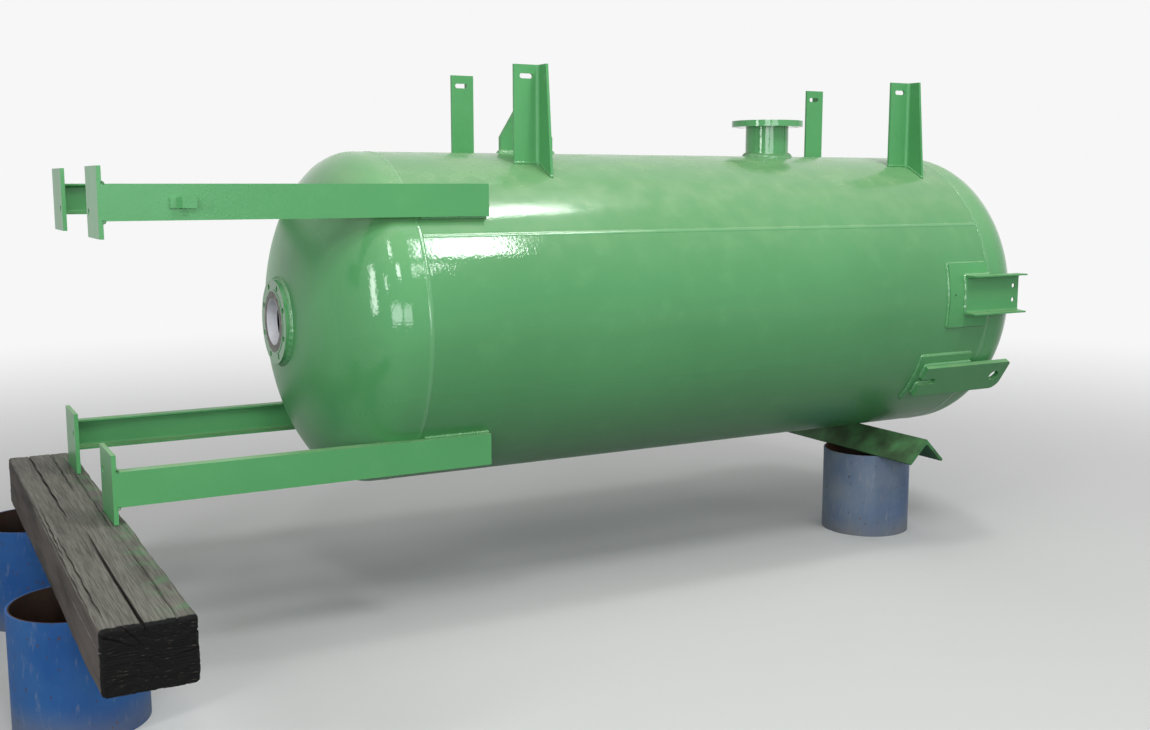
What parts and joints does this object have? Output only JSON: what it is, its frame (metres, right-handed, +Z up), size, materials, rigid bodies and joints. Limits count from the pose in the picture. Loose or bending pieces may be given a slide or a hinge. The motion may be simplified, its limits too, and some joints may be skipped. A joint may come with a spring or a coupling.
{
  "type": "horizontal pressure tank",
  "caption": "Dished-end pressure vessel lying on its side, with channel legs, lifting lugs, ladder brackets and flanged ends, held off the floor by a sleeper and pipe stands.",
  "frame": {"origin": "centre of the underside of the bounding box, on the floor", "axes": "+X along the tank's axis from the leg end to the lifting end, +Z up"},
  "size_m": [3.9265, 2, 1.843],
  "materials": {
    "tank_paint": "glossy light green enamel, brushed and sprayed, with overspray at the edges",
    "bare_steel": "bare pipe steel, dull",
    "bore_lining": "white bore lining",
    "old_timber": "weathered dark timber with cracks and paint spatter",
    "stand_paint": "dull scuffed blue paint"
  },
  "bodies": {
    "root": {"shell": "tank_paint", "left_head": "tank_paint", "right_head": "tank_paint", "seam_weld": "tank_paint", "left_girth_weld": "tank_paint", "right_girth_weld": "tank_paint", "left_nozzle_flange": "tank_paint", "left_nozzle_weld": "tank_paint", "right_nozzle_flange": "tank_paint", "right_nozzle_weld": "tank_paint", "top_nozzle_flange": "tank_paint", "top_nozzle_neck": "tank_paint", "top_nozzle_weld": "tank_paint", "near_upper_leg": "tank_paint", "near_lower_leg": "tank_paint", "far_upper_leg": "tank_paint", "far_lower_leg": "tank_paint", "leg_welds": "tank_paint", "near_upper_foot": "tank_paint", "near_lower_foot": "tank_paint", "far_upper_foot": "tank_paint", "far_lower_foot": "tank_paint", "earthing_clip": "tank_paint", "near_left_bracket": "tank_paint", "far_left_bracket": "tank_paint", "near_right_bracket": "tank_paint", "far_right_bracket": "tank_paint", "tailing_lug": "tank_paint", "near_stub_pad": "tank_paint", "near_channel_stub": "tank_paint", "far_stub_pad": "tank_paint", "far_channel_stub": "tank_paint", "front_lug_pad": "tank_paint", "front_lifting_lug": "tank_paint", "rear_lug_pad": "tank_paint", "rear_lifting_lug": "tank_paint", "cradle_angle": "tank_paint", "left_nozzle_neck": "bare_steel", "right_nozzle_neck": "bare_steel", "left_nozzle_liner": "bore_lining", "right_nozzle_liner": "bore_lining", "sleeper": "old_timber", "near_pipe_stand": "stand_paint", "far_pipe_stand": "stand_paint", "cradle_pipe_stand": "stand_paint"}
  },
  "joints": []
}
